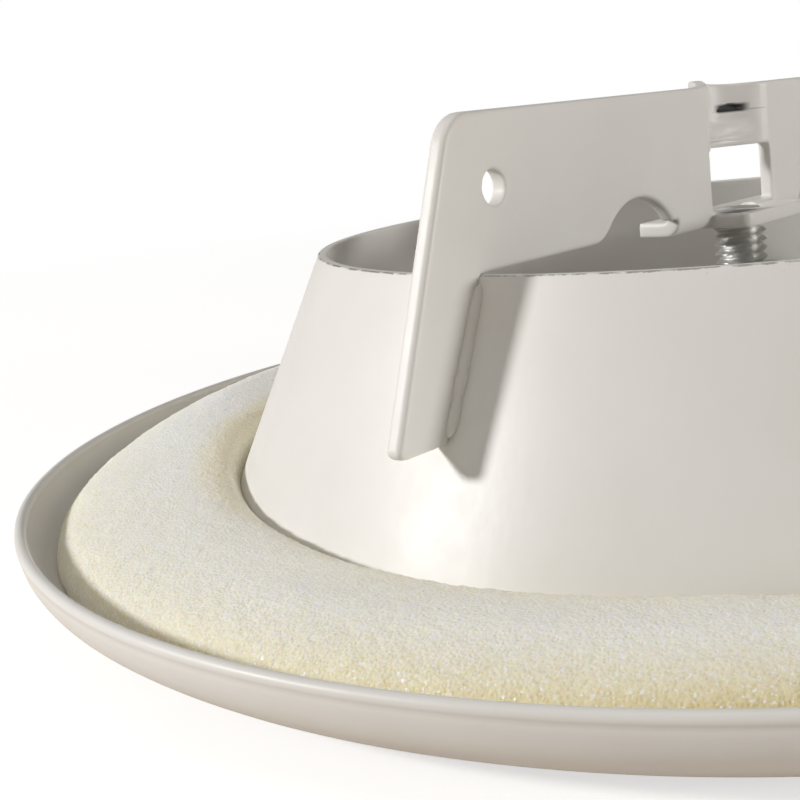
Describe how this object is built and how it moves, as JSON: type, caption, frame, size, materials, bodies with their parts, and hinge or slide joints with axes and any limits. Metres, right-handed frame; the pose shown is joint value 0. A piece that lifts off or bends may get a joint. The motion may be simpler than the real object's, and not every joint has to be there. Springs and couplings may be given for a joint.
{
  "type": "ceiling disc valve",
  "caption": "Round sheet-steel ventilation disc valve with foam gasket, conical throat, bridge bar with bayonet legs and a screw-set closing disc.",
  "frame": {"origin": "centre of the face plane that lies against the room side, at the bottom of the object's box", "axes": "+Z runs from the room into the duct along the spindle; +X runs along the bridge bar"},
  "size_m": [0.165, 0.165, 0.0451],
  "materials": {
    "powder_coat": "warm white powder coat, semi-gloss with fine orange peel",
    "foam": "cream open-cell foam, matt",
    "zinc": "bright zinc plating"
  },
  "bodies": {
    "ring": {"valve_ring": "powder_coat", "foam_gasket": "foam", "bridge_bar": "powder_coat", "weld_left_near": "powder_coat", "weld_left_far": "powder_coat", "weld_right_near": "powder_coat", "weld_right_far": "powder_coat"},
    "spindle": {"spindle": "zinc"},
    "disc": {"valve_disc": "powder_coat", "disc_hub": "zinc", "hub_washer": "zinc", "hub_nut": "zinc"},
    "lock_washer": {"lock_washer": "zinc"},
    "lock_nut": {"lock_nut": "zinc"}
  },
  "joints": [
    {"name": "spindle_lift", "type": "slide", "parent": "ring", "child": "spindle", "axis": [0, 0, 1], "range_m": [0, 0.00901]},
    {"name": "disc_turn", "type": "hinge", "parent": "spindle", "child": "disc", "pos_m": [0, 0, 0.005], "axis": [0, 0, 1], "range_deg": [0, 3240]},
    {"name": "lock_washer_lift", "type": "slide", "parent": "ring", "child": "lock_washer", "axis": [0, 0, 1], "range_m": [0, 0.00501]},
    {"name": "lock_nut_turn", "type": "hinge", "parent": "lock_washer", "child": "lock_nut", "pos_m": [0, 0, 0.02], "axis": [0, 0, 1], "range_deg": [0, 1804]}
  ],
  "couplings": [
    {"joint": "spindle_lift", "follows": "disc_turn", "m_per_rad": 0.00015915},
    {"joint": "lock_nut_turn", "follows": "lock_washer_lift", "rad_per_m": 6283.2}
  ]
}
